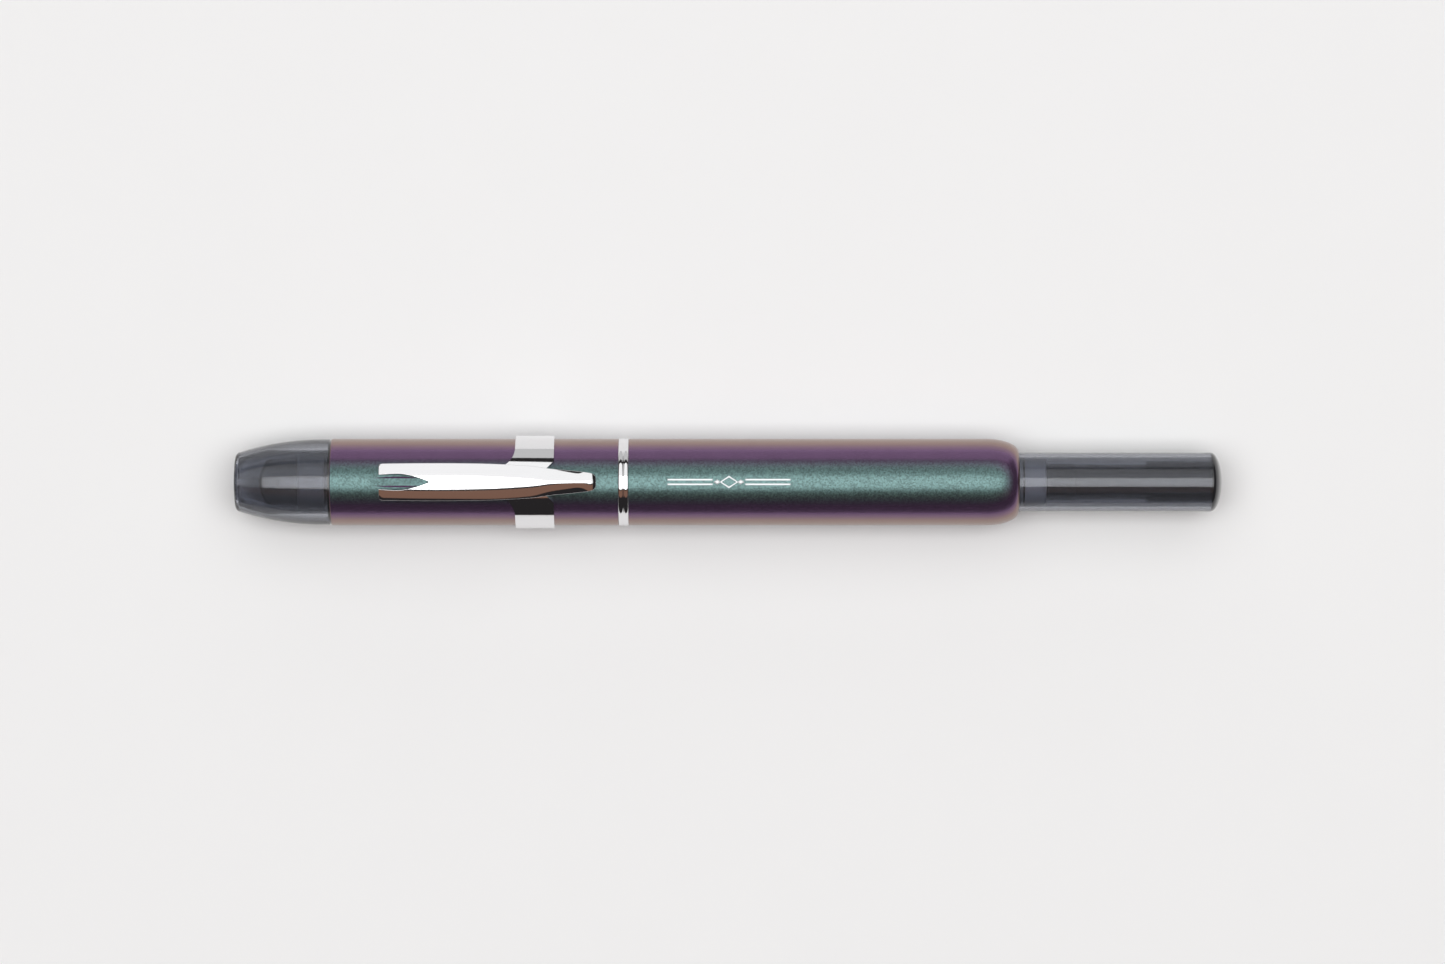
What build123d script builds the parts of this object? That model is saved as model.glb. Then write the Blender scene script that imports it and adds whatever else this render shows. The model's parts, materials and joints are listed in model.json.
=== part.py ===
"""Retractable fountain pen with a shuttered nose, a removable clip and a long knock button.

The pen lies along X, nib towards -X and button towards +X, with its clip on +Z. The origin is on the
pen's axis where the rear barrel begins. All sizes are in millimetres.
"""

import os
from math import cos, pi, radians, sin, sqrt

from build123d import *

# ---------------------------------------------------------------- driving dimensions
# Lengths along the axis
nose_length = 14.7
front_barrel_length = 44.8
band_width = 1.6
knob_projection = 31.5
knock_travel = 20.0
nib_reach = 7.0  # how far the nib stands out of the nose when the button is latched
nib_exposed = 9.5  # nib in front of its housing

# Radii, from the outside in
barrel_radius = 6.7
nose_step = 0.07  # the nose is this much slimmer than the barrel at their joint
barrel_wall = 1.1
band_proud = 0.1
sliding_gap = 0.05  # radial clearance of parts that slide or turn in each other
seat_gap = 0.02  # radial clearance of parts that are pushed together and stay

# Nose
nose_tip_radius = 4.37  # of the nose's outline, before its front edge is rounded
nose_shoulder = 1.2  # plain length in front of the barrel, where the nose has its full radius
nose_wall = 0.8
nose_mouth_radius = 2.9
nose_corner = 0.8
nose_tenon_length = 5.0
rib_width = 0.78
rib_reach = 7.2  # rear end of the rib, from the tip
frame_wall = 0.4
frame_depth_in_barrel = 5.3

# Shutter
shutter_pin_radius = 0.25
shutter_angle = 54.0  # closed, from the pen's axis
shutter_thickness = 0.5
shutter_lift = 0.5  # inner face above the pin's centre when open
shutter_margin = 0.27  # how far the lid laps the chamber's slanted mouth, along its slant
shutter_front_gap = 0.35  # from the open lid to the nose's front wall
seal_thickness = 0.4
chamber_bore = 2.7
chamber_wall = 0.9
collar_from_nose = 4.7  # its front, ahead of the nose joint
collar_length = 4.0

# Nib unit
housing_clearance = 0.15  # between the nib's housing and the chamber's bore
housing_wall = 0.35
housing_flange_width = 1.6
nib_sheet = 0.25
lip_slope = 0.186
nib_length = 19.0
feed_length = 25.0
nib_shoulder_inset = 0.15  # the nib's shoulders are this much narrower than its tube
nib_tip_rise = 1.15  # the tip lies this far above the pen's axis
feed_setback = 2.2  # feed's front behind the nib's tip
feed_belly_slope = 0.22

# Clip
clip_length = 33.4
clip_from_nose = 8.0  # front of the fork, behind the nose joint
clip_half_width = 2.85
clip_tail_half_width = 1.42
clip_rise = 2.4  # top of the clip above the barrel
saddle_width = 6.0
saddle_thickness = 0.48
saddle_wrap = 118.0  # each arm's reach round the barrel, from the top

# Button
knob_step = 1.02  # the button is this much slimmer than the barrel's bore
knob_wall = 0.72
knob_dome = 1.75
barrel_dome_length = 5.0
barrel_end_wall = 4.0
knob_flange_width = 1.6

# Latching cam in the rear barrel
tenon_length = 8.0  # of the front barrel, inside the rear one
cam_setback = 0.7  # from the tenon to the cam sleeve
cam_lead = 0.6  # sleeve in front of the splines when the button is in
cam_tail = 1.9  # sleeve behind the splines when the button is out
spline_length = 3.2
crown_depth = 0.8
crown_gap = 0.05

# ---------------------------------------------------------------- places along the axis
rear_front = 0.0
band_front = rear_front - band_width
barrel_front = band_front - front_barrel_length
nose_tip = barrel_front - nose_length

# The rear barrel is as long as the tenon, the cam, the travel and its end wall need.
cam_front = rear_front + tenon_length + cam_setback
spline_front = cam_front + cam_lead + knock_travel
spline_rear = spline_front + spline_length
cam_rear = spline_rear + cam_tail
knob_front = cam_rear + knock_travel + 0.3
knob_flange_rear = knob_front + knob_flange_width
rear_end = knob_flange_rear + 0.1 + barrel_end_wall
knob_end = rear_end + knob_projection
rib_front = spline_rear - knock_travel + 0.1
rotor_front = spline_front - 0.7
rotor_rear = spline_rear + 0.7
plunger_rear = knob_front - 0.05
plunger_floor = 2.0
sleeve_rear = rotor_front - 0.05
converter_rear = plunger_rear - plunger_floor - 1.0

# Closed, the lid leans over the chamber's slanted mouth; open, it lies flush with the chamber's bore.
slant = radians(shutter_angle)
shutter_pin_drop = chamber_bore + shutter_lift
bore_centre = (shutter_pin_drop - shutter_lift * cos(slant)) / sin(slant)
lid_half_length = chamber_bore / sin(slant) + shutter_margin
shutter_pin_x = nose_tip + nose_wall + shutter_front_gap + bore_centre + lid_half_length

nib_tip = nose_tip + knock_travel - nib_reach
housing_front = nib_tip + nib_exposed
frame_rear = barrel_front + frame_depth_in_barrel
nib_ring_x = shutter_pin_x + knock_travel + 0.5
chamber_rear = nib_ring_x + 1.4
flange_front = chamber_rear + knock_travel + 0.4
flange_rear = flange_front + housing_flange_width
nipple_end = flange_rear + 5.0

# ---------------------------------------------------------------- radii that follow
nose_radius = barrel_radius - nose_step
nose_taper_length = nose_length - nose_shoulder
nose_drop = nose_radius - nose_tip_radius
nose_arc_radius = (nose_drop**2 + nose_taper_length**2) / (2 * nose_drop)
barrel_bore = barrel_radius - barrel_wall
band_radius = barrel_radius + band_proud
clip_top = barrel_radius + clip_rise
tenon_radius = barrel_bore - sliding_gap
tenon_bore = tenon_radius - 0.55
nose_tenon_radius = barrel_bore - seat_gap
nose_bore = nose_tenon_radius - 0.63
frame_radius = nose_bore - 0.08
frame_bore = frame_radius - frame_wall
chamber_radius = chamber_bore + chamber_wall
collar_bevel = 0.3 * (frame_bore - chamber_radius - 2 * seat_gap) / 0.83
knuckle_radius = shutter_lift
# The knuckle and the springs beside it fit across the frame's bore at the pin's depth.
knuckle_room = sqrt(frame_bore**2 - (shutter_pin_drop + 0.46) ** 2)
knuckle_length = 2 * (knuckle_room - 0.866)
housing_radius = chamber_bore - housing_clearance
housing_bore = housing_radius - housing_wall
nib_radius = housing_bore - sliding_gap
nib_half_width = nib_radius - nib_shoulder_inset
feed_radius = nib_radius - nib_sheet - sliding_gap
flange_radius = tenon_bore - 0.1

cam_radius = barrel_bore - seat_gap
groove_radius = cam_radius - 0.7
rib_radius = groove_radius - 0.5
spline_radius = groove_radius - sliding_gap
plunger_radius = rib_radius - sliding_gap
plunger_bore = plunger_radius - 0.6
converter_radius = plunger_bore - 0.15
converter_bore = converter_radius - 0.7

knob_radius = barrel_bore - knob_step
knob_bore = knob_radius - knob_wall
knob_flange_radius = barrel_bore - 0.15
barrel_mouth_radius = knob_radius + 0.07


def nose_outline_radius(x, inset=0.0):
    """Radius of the nose at x: full at its shoulder, then on one long arc to the tip."""
    ahead = max(0.0, barrel_front - nose_shoulder - x)
    arc = nose_arc_radius - inset
    return nose_radius - nose_arc_radius + sqrt(arc**2 - ahead**2)


def turn(outline, mode=Mode.ADD, arc=360.0):
    """Revolves a closed outline of (x, radius) points about the pen's axis, in the open part."""
    with BuildSketch(Plane.XZ, mode=Mode.PRIVATE) as profile:
        with BuildLine():
            Polyline(*outline, close=True)
        make_face()
    revolve(profile.sketch, axis=Axis.X, revolution_arc=arc, mode=mode)


def tube(front, rear, outer, inner, mode=Mode.ADD):
    """A plain tube on the pen's axis, in the open part."""
    turn([(front, inner), (rear, inner), (rear, outer), (front, outer)], mode)


def rod(front, rear, radius, mode=Mode.ADD):
    """A plain rod on the pen's axis, in the open part."""
    turn([(front, 0), (rear, 0), (rear, radius), (front, radius)], mode)


def finish(builder, name):
    """Labels a sub-part and writes it to its own file."""
    builder.part.label = name
    export_step(builder.part, f"parts/{name}.step")


os.makedirs("parts", exist_ok=True)

# ================================================================ nose
nose_face = nose_tip + nose_corner
with BuildPart() as nose_cone:
    with BuildSketch(Plane.XZ):
        with BuildLine():
            shoulder = (barrel_front - nose_shoulder, nose_radius)
            corner = (nose_face, nose_outline_radius(nose_face))
            middle_x = (shoulder[0] + corner[0]) / 2
            Polyline(
                (nose_tip + 0.25, 0),
                (nose_tip, nose_mouth_radius),
                (nose_tip + 0.1, corner[1] - nose_corner),
            )
            ThreePointArc(
                (nose_tip + 0.1, corner[1] - nose_corner),
                (nose_tip + 0.3, corner[1] - 0.32 * nose_corner),
                corner,
            )
            ThreePointArc(corner, (middle_x, nose_outline_radius(middle_x)), shoulder)
            Polyline(
                shoulder,
                (barrel_front, nose_radius),
                (barrel_front, nose_tenon_radius),
                (barrel_front + nose_tenon_length, nose_tenon_radius),
                (barrel_front + nose_tenon_length, 0),
                (nose_tip + 0.25, 0),
            )
        make_face()
    revolve(axis=Axis.X)
    with BuildSketch(Plane.XZ):
        with BuildLine():
            room_front = nose_tip + nose_wall
            ahead = sqrt((nose_arc_radius - nose_wall) ** 2 - (nose_arc_radius - nose_radius + nose_bore) ** 2)
            room_full = barrel_front - nose_shoulder - ahead
            room_middle = (room_front + room_full) / 2
            ThreePointArc(
                (room_front, nose_outline_radius(room_front, nose_wall)),
                (room_middle, nose_outline_radius(room_middle, nose_wall)),
                (room_full, nose_bore),
            )
            Polyline(
                (room_full, nose_bore),
                (barrel_front + nose_tenon_length, nose_bore),
                (barrel_front + nose_tenon_length, 0),
                (room_front, 0),
                (room_front, nose_outline_radius(room_front, nose_wall)),
            )
        make_face()
    revolve(axis=Axis.X, mode=Mode.SUBTRACT)
    rod(nose_tip - 1, nose_tip + 3, nose_mouth_radius, Mode.SUBTRACT)
    # A rib inside the top keeps the shutter's frame from turning.
    with BuildSketch(Plane.XZ):
        with BuildLine():
            Polyline(
                (room_front - 0.1, nose_outline_radius(room_front, nose_wall) - 0.35),
                (room_full, nose_bore - 0.4),
                (nose_tip + rib_reach, nose_bore - 0.4),
                (nose_tip + rib_reach, nose_bore + 0.2),
                (room_full, nose_bore + 0.2),
                (room_front - 0.1, nose_outline_radius(room_front, nose_wall) + 0.2),
                close=True,
            )
        make_face()
    extrude(amount=rib_width / 2, both=True)
finish(nose_cone, "nose_cone")

joint_ring_width = 0.3
with BuildPart() as nose_joint_ring:
    tube(barrel_front + 0.01, barrel_front + joint_ring_width, nose_radius - 0.12, nose_tenon_radius + 0.03)
finish(nose_joint_ring, "nose_joint_ring")

# ================================================================ shutter and its frame
# The frame is a sleeve in the nose, open below so that the lid can fold down into it.
frame_front = nose_tip + 1.3
frame_full = room_full + 0.5
frame_front_radius = nose_outline_radius(frame_front, nose_wall) - 0.1
closed_face = (
    shutter_pin_x + shutter_lift * sin(slant),
    -shutter_pin_drop + shutter_lift * cos(slant),
)
closed_plane = Plane(
    origin=(closed_face[0], 0, closed_face[1]),
    x_dir=(-cos(slant), 0, sin(slant)),
    z_dir=(sin(slant), 0, cos(slant)),
)
peg_height = sqrt((frame_front_radius - 0.25) ** 2 - 2.8**2)

with BuildPart() as shutter_frame:
    turn(
        [
            (frame_front, frame_front_radius - frame_wall),
            (frame_full, frame_bore),
            (frame_rear, frame_bore),
            (frame_rear, frame_radius),
            (frame_full, frame_radius),
            (frame_front, frame_front_radius),
        ]
    )
    with Locations((nose_tip, 0, -shutter_pin_drop + 0.9)):
        Box(
            shutter_pin_x - nose_tip - 0.9,
            4 * frame_radius,
            2 * frame_radius,
            align=(Align.MIN, Align.CENTER, Align.MAX),
            mode=Mode.SUBTRACT,
        )
    with Locations((nose_tip, 0, 0)):
        Box(
            rib_reach + 2 * seat_gap,
            rib_width + 4 * seat_gap,
            2 * frame_radius,
            align=(Align.MIN, Align.CENTER, Align.MIN),
            mode=Mode.SUBTRACT,
        )
    # Two pegs on the sloping front locate the frame in the nose.
    with Locations(
        (nose_tip + 1.45, 2.8, peg_height),
        (nose_tip + 1.45, -2.8, peg_height),
    ):
        Box(0.5, 0.4, 0.4)
    with BuildSketch(Plane.XZ):
        with Locations((shutter_pin_x, -shutter_pin_drop)):
            Circle(shutter_pin_radius + seat_gap)
    extrude(amount=2 * frame_radius, both=True, mode=Mode.SUBTRACT)
finish(shutter_frame, "shutter_frame")

with BuildPart() as chamber_collar:
    tube(barrel_front - collar_from_nose, barrel_front - collar_from_nose + collar_length, frame_bore - seat_gap, chamber_radius + seat_gap)
    chamfer(chamber_collar.faces().sort_by(Axis.X)[0].edges().sort_by(SortBy.RADIUS)[-1], collar_bevel)
    # Relieved around the shutter's knuckle, where a wide chamber brings the two close.
    with BuildSketch(Plane.XZ):
        with Locations((shutter_pin_x, -shutter_pin_drop)):
            Circle(knuckle_radius + 0.25)
    extrude(amount=frame_radius, both=True, mode=Mode.SUBTRACT)
finish(chamber_collar, "chamber_collar")

with BuildPart() as nib_chamber:
    tube(nose_tip + 1.5, chamber_rear, chamber_radius, chamber_bore)
    split(bisect_by=closed_plane.offset(seal_thickness), keep=Keep.TOP)
    chamfer(nib_chamber.faces().sort_by(Axis.X)[-1].edges(), 0.15)
finish(nib_chamber, "nib_chamber")

with BuildPart() as shutter_seal:
    tube(nose_tip + 1.5, chamber_rear, chamber_radius - 0.05, chamber_bore + 0.02)
    split(bisect_by=closed_plane.offset(0.03), keep=Keep.TOP)
    split(bisect_by=closed_plane.offset(seal_thickness - 0.01), keep=Keep.BOTTOM)
finish(shutter_seal, "shutter_seal")

lid_half_width = chamber_bore + 0.55 * shutter_margin
with BuildPart() as shutter_lid:
    with BuildSketch(closed_plane):
        with Locations((bore_centre, 0)):
            Ellipse(lid_half_length, lid_half_width)
        with Locations((0, 0)):
            Rectangle(2.2, knuckle_length, align=(Align.MIN, Align.CENTER))
    extrude(amount=-shutter_thickness)
    with BuildSketch(Plane.XZ):
        with Locations((shutter_pin_x, -shutter_pin_drop)):
            Circle(knuckle_radius)
    extrude(amount=knuckle_length / 2, both=True)
    split(bisect_by=closed_plane, keep=Keep.BOTTOM)
    with BuildSketch(Plane.XZ):
        with Locations((shutter_pin_x, -shutter_pin_drop)):
            Circle(shutter_pin_radius + sliding_gap)
    extrude(amount=knuckle_length, both=True, mode=Mode.SUBTRACT)
    # Room for the springs beside the knuckle.
    for side in (-1, 1):
        with Locations(Location((shutter_pin_x, side * (knuckle_length / 2 + 0.3), -shutter_pin_drop), (90, 0, 0))):
            Cylinder(knuckle_radius, 0.6, mode=Mode.SUBTRACT)
finish(shutter_lid, "shutter_lid")

pin_half_length = sqrt(frame_radius**2 - shutter_pin_drop**2) - 0.15
with BuildPart() as shutter_pin:
    with BuildSketch(Plane.XZ):
        with Locations((shutter_pin_x, -shutter_pin_drop)):
            Circle(shutter_pin_radius)
    extrude(amount=pin_half_length, both=True)
finish(shutter_pin, "shutter_pin")

# A torsion spring on each end of the pin, outside the lid's knuckle.
coil_wire = 0.09
coil_turns = 2
with BuildPart() as shutter_spring:
    for side in (-1, 1):
        for turn_index in range(coil_turns):
            offset = side * (knuckle_length / 2 + 0.15 + 2.2 * coil_wire * turn_index)
            with Locations(Location((shutter_pin_x, offset, -shutter_pin_drop), (90, 0, 0))):
                Torus(shutter_pin_radius + coil_wire + 0.03, coil_wire)
finish(shutter_spring, "shutter_spring")

# ================================================================ front barrel
key_front = barrel_front + clip_from_nose - 1.2
key_length = 8.6
key_half_width = 0.82
key_top = barrel_radius + 0.95
with BuildPart() as clip_key:
    with BuildSketch(Plane.XY.offset(barrel_bore + 0.6)):
        with BuildLine():
            blunt = 0.55
            key_rear = key_front + key_length
            key_waist = (key_front + 0.5 * key_length, key_half_width)
            Line((key_rear, 0), (key_rear, 0.2))
            ThreePointArc((key_rear, 0.2), (key_rear - 0.28 * key_length, 0.93 * key_half_width), key_waist)
            ThreePointArc(key_waist, (key_front + 0.26 * key_length, 0.93 * key_half_width), (key_front, blunt))
            Line((key_front, blunt), (key_front, 0))
            mirror(about=Plane.XZ)
        make_face()
    extrude(amount=key_top - barrel_bore - 0.6)
    with BuildSketch(Plane.YZ.offset(key_front - 1)):
        with BuildLine():
            Polyline(
                (-key_half_width, 0),
                (key_half_width, 0),
                (key_half_width, key_top - 0.3),
                (0.7 * key_half_width, key_top - 0.08),
                (0, key_top),
                (-0.7 * key_half_width, key_top - 0.08),
                (-key_half_width, key_top - 0.3),
                close=True,
            )
        make_face()
    extrude(amount=key_length + 2, mode=Mode.INTERSECT)

with BuildPart() as front_barrel:
    turn(
        [
            (barrel_front + joint_ring_width + 0.02, barrel_bore),
            (band_front - 3.0, barrel_bore),
            (band_front - 3.0, tenon_bore),
            (rear_front + tenon_length, tenon_bore),
            (rear_front + tenon_length, tenon_radius - 0.3),
            (rear_front + tenon_length - 0.3, tenon_radius),
            (band_front, tenon_radius),
            (band_front, barrel_radius),
            (barrel_front + joint_ring_width + 0.12, barrel_radius),
            (barrel_front + joint_ring_width + 0.02, barrel_radius - 0.1),
        ]
    )
    add(clip_key.part)
finish(front_barrel, "front_barrel")

# ================================================================ clip
fork_front = barrel_front + clip_from_nose
clip_tail = fork_front + clip_length
saddle_rear = clip_tail - 6.5
saddle_front = saddle_rear - saddle_width
saddle_radius = barrel_radius + seat_gap + saddle_thickness

with BuildPart() as clip_saddle:
    tube(saddle_front - 5, saddle_rear, saddle_radius, barrel_radius + seat_gap)
    # Seen from above the front edge flares forward into the blade, and the rear corners are cut back.
    flare_length = 4.2
    flare_start = 5.3
    with BuildSketch(Plane.XY) as saddle_plan:
        with BuildLine():
            Line((saddle_front, 2 * barrel_radius), (saddle_front, flare_start))
            TangentArc(
                (saddle_front, flare_start),
                (saddle_front - flare_length, clip_half_width - 0.4),
                tangent=(0, -1),
            )
            Polyline(
                (saddle_front - flare_length, clip_half_width - 0.4),
                (saddle_front - flare_length, 0),
                (saddle_rear - 1.2, 0),
                (saddle_rear - 1.2, clip_tail_half_width + 0.6),
                (saddle_rear, clip_half_width + 0.4),
                (saddle_rear, 2 * barrel_radius),
                (saddle_front, 2 * barrel_radius),
            )
        make_face()
        mirror(about=Plane.XZ)
    extrude(amount=2 * barrel_radius, both=True, mode=Mode.INTERSECT)
    # The arms end below the barrel's middle, so the saddle springs on and stays.
    with BuildSketch(Plane.YZ.offset(saddle_front - 6)):
        gap = radians(180 - saddle_wrap)
        with BuildLine():
            reach = 3 * barrel_radius
            Polyline((0, 0), (reach * sin(gap), -reach * cos(gap)), (-reach * sin(gap), -reach * cos(gap)), close=True)
        make_face()
    extrude(amount=saddle_width + 12, mode=Mode.SUBTRACT)
finish(clip_saddle, "clip_saddle")

pad_top = saddle_radius + 0.03
with BuildPart() as clip_blade:
    with BuildSketch(Plane.XZ):
        with BuildLine():
            Spline(
                (fork_front, clip_top - 1.15),
                (fork_front + 0.45 * clip_length, clip_top - 0.3),
                (saddle_rear - 2, clip_top),
                (clip_tail - 0.8, clip_top - 1.15),
                tangents=((1, 0.12), (1, -0.55)),
            )
            Polyline(
                (clip_tail - 0.8, clip_top - 1.15),
                (clip_tail, clip_top - 1.75),
                (clip_tail, barrel_radius + 0.55),
                (saddle_rear + 0.1, barrel_radius + 0.7),
                (saddle_rear - 0.1, pad_top),
                (saddle_front, pad_top),
                (fork_front + 0.45 * clip_length, barrel_radius + 1.35),
                (fork_front + 2.6, barrel_radius + 0.45),
                (fork_front + 1.6, barrel_radius + 0.12),
                (fork_front, barrel_radius + 0.12),
                (fork_front, clip_top - 1.15),
            )
        make_face()
    extrude(amount=2 * clip_half_width, both=True)
    with BuildSketch(Plane.XY) as blade_plan:
        with BuildLine():
            waist = fork_front + 0.52 * clip_length
            Polyline((fork_front, 0), (fork_front, clip_half_width), (waist, clip_half_width))
            ThreePointArc(
                (waist, clip_half_width),
                (saddle_rear - 3.0, 0.86 * clip_half_width),
                (saddle_rear, 0.72 * clip_half_width),
            )
            Polyline(
                (saddle_rear, 0.72 * clip_half_width),
                (clip_tail - 0.8, clip_tail_half_width),
                (clip_tail, clip_tail_half_width - 0.6),
                (clip_tail, 0),
                (fork_front, 0),
            )
        make_face()
        mirror(about=Plane.XZ)
    extrude(amount=2 * clip_top, mode=Mode.INTERSECT)
    slot_half_width = key_half_width + 0.43
    slot_end = key_front + key_length + 0.5
    with BuildSketch(Plane.XY):
        with BuildLine():
            Polyline((slot_end, 0), (slot_end, 0.2))
            ThreePointArc(
                (slot_end, 0.2),
                (slot_end - 2.6, 0.9 * slot_half_width),
                (fork_front + 3.4, slot_half_width),
            )
            Polyline(
                (fork_front + 3.4, slot_half_width),
                (fork_front - 1, slot_half_width - 0.12),
                (fork_front - 1, 0),
                (slot_end, 0),
            )
        make_face()
        mirror(about=Plane.XZ)
    extrude(amount=2 * clip_top, mode=Mode.SUBTRACT)
    crest = clip_blade.faces().filter_by(GeomType.PLANE, reverse=True).sort_by(Axis.Z)[-1]
    rim = [e for e in crest.edges() if abs(e.center().Y) > slot_half_width + 0.1 and e.length > 2]
    chamfer(rim, 0.35)
finish(clip_blade, "clip_blade")

# ================================================================ nib unit
with BuildPart() as nib:
    nib_rear = nib_tip + nib_length
    with BuildSketch(Plane.XZ, mode=Mode.PRIVATE) as sheet_profile:
        with BuildLine():
            Polyline(
                (nib_tip, nib_tip_rise),
                (housing_front, nib_radius),
                (nib_rear, nib_radius),
                (nib_rear, nib_radius - nib_sheet),
                (housing_front, nib_radius - nib_sheet),
                (nib_tip, nib_tip_rise - nib_sheet),
                close=True,
            )
        make_face()
    revolve(sheet_profile.sketch.rotate(Axis.X, -72), axis=Axis.X, revolution_arc=144)
    with BuildSketch(Plane.XY):
        with BuildLine():
            Polyline((nib_tip, 0), (nib_tip, 0.3))
            ThreePointArc(
                (nib_tip, 0.3),
                (nib_tip + 0.55 * nib_exposed, 0.52 * nib_half_width),
                (nib_tip + 0.9 * nib_exposed, nib_half_width),
            )
            Polyline(
                (nib_tip + 0.9 * nib_exposed, nib_half_width),
                (nib_tip + 1.12 * nib_exposed, nib_half_width + 0.12),
                (nib_rear, nib_half_width - 0.25),
                (nib_rear, 0),
                (nib_tip, 0),
            )
        make_face()
        mirror(about=Plane.XZ)
    extrude(amount=2 * nib_radius, mode=Mode.INTERSECT)
    breather_x = nib_tip + 0.72 * nib_exposed
    with BuildSketch(Plane.XY):
        with Locations((breather_x, 0)):
            Circle(0.45)
        with Locations((nib_tip + 0.3, 0)):
            Rectangle(breather_x - nib_tip, 0.09, align=(Align.MIN, Align.CENTER))
    extrude(amount=2 * nib_radius, mode=Mode.SUBTRACT)
    with Locations((nib_tip + 0.1, 0, nib_tip_rise - 0.5 * nib_sheet)):
        Sphere(0.3)
finish(nib, "nib")

fin_count = 9
fin_pitch = 0.6
with BuildPart() as feed:
    feed_rear = housing_front + feed_length - nib_exposed
    taper = (nib_radius - nib_tip_rise) / nib_exposed
    feed_front = nib_tip + feed_setback
    feed_nose = nib_tip_rise + taper * feed_setback - nib_sheet - sliding_gap
    turn(
        [
            (feed_front, 0),
            (feed_front, feed_nose - 0.25),
            (feed_front + 0.5, feed_nose + 0.5 * taper - 0.03),
            (housing_front, feed_radius),
            (feed_rear, feed_radius),
            (feed_rear, 0),
        ]
    )
    # The belly rises towards the tip, clear of the opening lid.
    belly = Plane(
        origin=(feed_front, 0, -0.1),
        x_dir=(1, 0, -feed_belly_slope),
        z_dir=(feed_belly_slope, 0, 1),
    )
    split(bisect_by=belly, keep=Keep.TOP)
    with BuildSketch(Plane.XZ):
        for index in range(fin_count):
            with Locations((feed_front + 2.6 + fin_pitch * index, 0)):
                Rectangle(0.24, 4 * feed_radius)
    extrude(amount=2 * feed_radius, both=True, mode=Mode.SUBTRACT)
    with Locations((feed_front + 1.2, 0, -0.1)):
        Box(
            fin_pitch * fin_count + 3,
            1.1,
            nib_tip_rise - nib_sheet,
            align=(Align.MIN, Align.CENTER, Align.MIN),
        )
    with Locations((feed_front - 1, 0, nib_tip_rise + feed_radius)):
        Box(
            feed_length + 2,
            0.3,
            feed_radius + 0.1,
            align=(Align.MIN, Align.CENTER, Align.MAX),
            mode=Mode.SUBTRACT,
        )
finish(feed, "feed")

with BuildPart() as nib_housing:
    turn(
        [
            (housing_front, housing_bore),
            (feed_rear + 0.1, housing_bore),
            (feed_rear + 0.1, 0.6),
            (nipple_end, 0.6),
            (nipple_end, 1.5),
            (nipple_end - 0.6, 1.8),
            (flange_rear, 1.8),
            (flange_rear, flange_radius),
            (flange_front, flange_radius),
            (flange_front, housing_radius),
            (nib_ring_x + 0.45, housing_radius),
            (nib_ring_x + 0.45, housing_radius - 0.25),
            (nib_ring_x - 0.45, housing_radius - 0.25),
            (nib_ring_x - 0.45, housing_radius),
            (housing_front + 4.5, housing_radius),
            (housing_front, housing_bore + 0.12),
        ]
    )
    # Its lower lip is cut back at a slant, which shows the feed's fins and clears the lid.
    lip = Plane(
        origin=(housing_front, 0, -0.8 * housing_bore),
        x_dir=(1, 0, -lip_slope),
        z_dir=(lip_slope, 0, 1),
    )
    split(bisect_by=lip, keep=Keep.TOP)
finish(nib_housing, "nib_housing")

with BuildPart() as nib_unit_ring:
    tube(nib_ring_x - 0.4, nib_ring_x + 0.4, chamber_bore - 0.03, housing_radius - 0.22)
    fillet(nib_unit_ring.edges().filter_by(GeomType.CIRCLE).group_by(lambda e: e.radius)[-1], 0.06)
finish(nib_unit_ring, "nib_unit_ring")

# ================================================================ converter
mouth_front = flange_rear + 0.1
piston_front = nipple_end + 1.2
piston_length = 4.0
grip_length = 18.9
tube_rear = converter_rear - grip_length - 1.3
piston_stroke = 14.0
with BuildPart() as converter_tube:
    turn(
        [
            (mouth_front, 1.85),
            (nipple_end + 0.2, 1.85),
            (nipple_end + 0.8, converter_bore),
            (tube_rear, converter_bore),
            (tube_rear, converter_radius - 0.25),
            (tube_rear - 7, converter_radius - 0.25),
            (tube_rear - 7.2, converter_radius),
            (mouth_front + 0.3, converter_radius),
            (mouth_front, converter_radius - 0.3),
        ]
    )
finish(converter_tube, "converter_tube")

with BuildPart() as converter_collar:
    tube(tube_rear - 7.0, tube_rear + 1.2, converter_radius, converter_radius - 0.25 + seat_gap)
    tube(tube_rear + 0.05, tube_rear + 1.2, converter_radius, 2.35)
finish(converter_collar, "converter_collar")

screw_radius = 0.9
with BuildPart() as converter_piston:
    rod(piston_front, piston_front + piston_length, converter_bore - sliding_gap)
    for ring_x in (piston_front + 0.9, piston_front + piston_length - 1.3):
        tube(ring_x, ring_x + 0.5, converter_radius, converter_bore - 0.35, Mode.SUBTRACT)
finish(converter_piston, "converter_piston")

screw_rear = piston_front + piston_length + piston_stroke + 6.5
with BuildPart() as converter_screw:
    rod(piston_front + piston_length + 0.01, screw_rear, screw_radius)
    chamfer(converter_screw.faces().sort_by(Axis.X)[-1].edges(), 0.2)
finish(converter_screw, "converter_screw")

knob_neck_front = piston_front + piston_length + piston_stroke + 0.4
with BuildPart() as converter_knob:
    turn(
        [
            (knob_neck_front, screw_radius + 0.06),
            (converter_rear - 1.2, screw_radius + 0.06),
            (converter_rear - 1.2, 0),
            (converter_rear, 0),
            (converter_rear, converter_radius - 0.5),
            (converter_rear - 0.4, converter_radius - 0.1),
            (tube_rear + 1.3, converter_radius - 0.1),
            (tube_rear + 1.3, 2.3),
            (knob_neck_front, 2.3),
        ]
    )
    with BuildSketch(Plane.YZ.offset(converter_rear - 9)):
        with PolarLocations(converter_radius - 0.1, 18):
            Circle(0.16)
    extrude(amount=8, mode=Mode.SUBTRACT)
finish(converter_knob, "converter_knob")

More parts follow.
